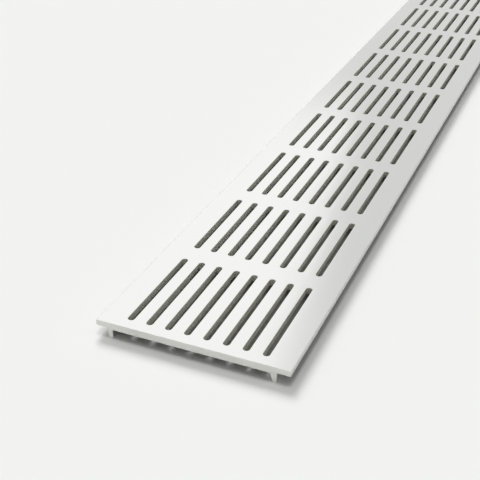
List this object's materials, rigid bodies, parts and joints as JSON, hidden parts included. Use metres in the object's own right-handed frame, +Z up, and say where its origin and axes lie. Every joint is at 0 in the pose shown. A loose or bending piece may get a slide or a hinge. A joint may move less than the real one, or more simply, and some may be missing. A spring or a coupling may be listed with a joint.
{
  "type": "slotted channel drain grating",
  "caption": "Flat slotted aluminium grating for a channel drain: a plate with rows of round-ended lengthwise slots on two low ribs.",
  "frame": {"origin": "middle of the rectangle that the grating covers, level with the ribs' feet", "axes": "+X across the grating, +Y along its length, +Z up, out of the walked-on face"},
  "size_m": [0.08, 0.6, 0.0065],
  "materials": {
    "satin_aluminium": "satin anodised extrusion, fine grain along its length, sawn ends"
  },
  "bodies": {
    "root": {"grating": "satin_aluminium"}
  },
  "joints": []
}
